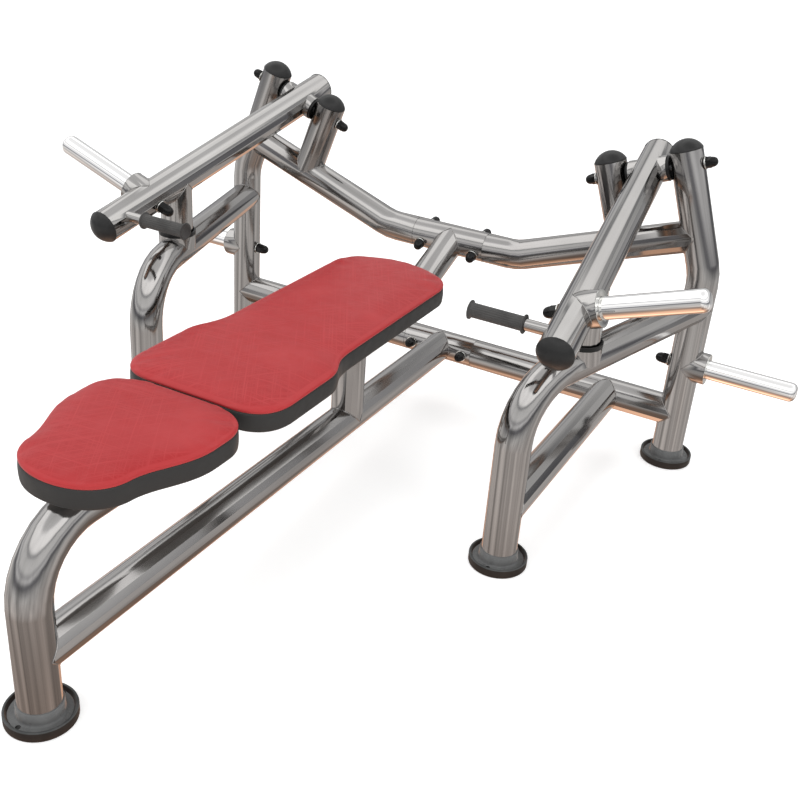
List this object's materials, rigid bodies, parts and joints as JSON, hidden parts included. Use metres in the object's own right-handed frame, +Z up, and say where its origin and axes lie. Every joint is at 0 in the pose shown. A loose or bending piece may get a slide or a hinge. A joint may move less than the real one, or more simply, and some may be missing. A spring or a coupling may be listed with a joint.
{
  "type": "plate-loaded bench press machine",
  "caption": "Flat padded bench in a round-tube frame with independent plate-loaded press arms that pivot at the rear uprights, plate storage horns and rubber feet.",
  "frame": {"origin": "on the floor, at the middle of the machine's outline", "axes": "+X across the machine towards its right-hand side as seen from the seat's nose; +Y from the seat's nose to the rear uprights; +Z up"},
  "size_m": [1.84, 1.656, 0.8047],
  "materials": {
    "frame_tube": "glossy clear-coated gun-metal tube with soft streaked reflections",
    "arm_tube": "glossy clear-coated gun-metal tube",
    "chrome": "bright polished chrome",
    "shaft": "bright turned shaft with black domed nuts",
    "rubber": "satin black moulded rubber",
    "plastic": "satin black moulded plastic",
    "grip": "dark grey finely ribbed rubber",
    "nylon": "black bearing plastic",
    "board": "plywood, edges hidden by the upholstery",
    "vinyl": "fine-grained red vinyl top, black vinyl sides",
    "plate": "satin black steel plate"
  },
  "bodies": {
    "frame": {"back_board": "board", "back_cushion": "vinyl", "back_mount_plate": "plate", "bench_spine": "frame_tube", "centre_post": "frame_tube", "floor_rail": "frame_tube", "foot_front": "rubber", "foot_rear_left": "rubber", "foot_rear_right": "rubber", "foot_side_left": "rubber", "foot_side_right": "rubber", "inner_post_left": "frame_tube", "inner_post_right": "frame_tube", "joint_bolt_lower_left": "plastic", "joint_bolt_lower_right": "plastic", "joint_bolt_upper_left": "plastic", "joint_bolt_upper_right": "plastic", "lower_crossbeam_centre": "frame_tube", "lower_crossbeam_left": "frame_tube", "lower_crossbeam_right": "frame_tube", "pivot_shaft_left": "shaft", "pivot_shaft_right": "shaft", "post_cap_left": "plastic", "post_cap_right": "plastic", "rear_upright_left": "frame_tube", "rear_upright_right": "frame_tube", "rubber_bumper_left": "rubber", "rubber_bumper_right": "rubber", "seat_board": "board", "seat_cushion": "vinyl", "seat_mount_plate": "plate", "side_floor_rail_left": "frame_tube", "side_floor_rail_right": "frame_tube", "side_leg_left": "frame_tube", "side_leg_right": "frame_tube", "storage_horn_left": "chrome", "storage_horn_nut_left": "plastic", "storage_horn_nut_right": "plastic", "storage_horn_right": "chrome", "upper_crossbeam_centre": "frame_tube", "upper_crossbeam_left": "frame_tube", "upper_crossbeam_right": "frame_tube", "upright_cap_left": "plastic", "upright_cap_right": "plastic"},
    "left_arm": {"arm_front_cap_left": "plastic", "arm_rear_cap_left": "plastic", "hand_grip_left": "grip", "pivot_bush_inner_left": "nylon", "pivot_bush_outer_left": "nylon", "plate_horn_left": "chrome", "plate_horn_nut_left": "plastic", "press_arm_left": "arm_tube"},
    "right_arm": {"arm_front_cap_right": "plastic", "arm_rear_cap_right": "plastic", "hand_grip_right": "grip", "pivot_bush_inner_right": "nylon", "pivot_bush_outer_right": "nylon", "plate_horn_nut_right": "plastic", "plate_horn_right": "chrome", "press_arm_right": "arm_tube"}
  },
  "joints": [
    {"name": "right_arm_pivot", "type": "hinge", "parent": "frame", "child": "right_arm", "pos_m": [0.4815, 0.73303, 0.7135], "axis": [-0.9438, 0, -0.3305], "range_deg": [0, 60]},
    {"name": "left_arm_pivot", "type": "hinge", "parent": "frame", "child": "left_arm", "pos_m": [-0.4815, 0.73303, 0.7135], "axis": [-0.9438, 0, 0.3305], "range_deg": [0, 60]}
  ]
}
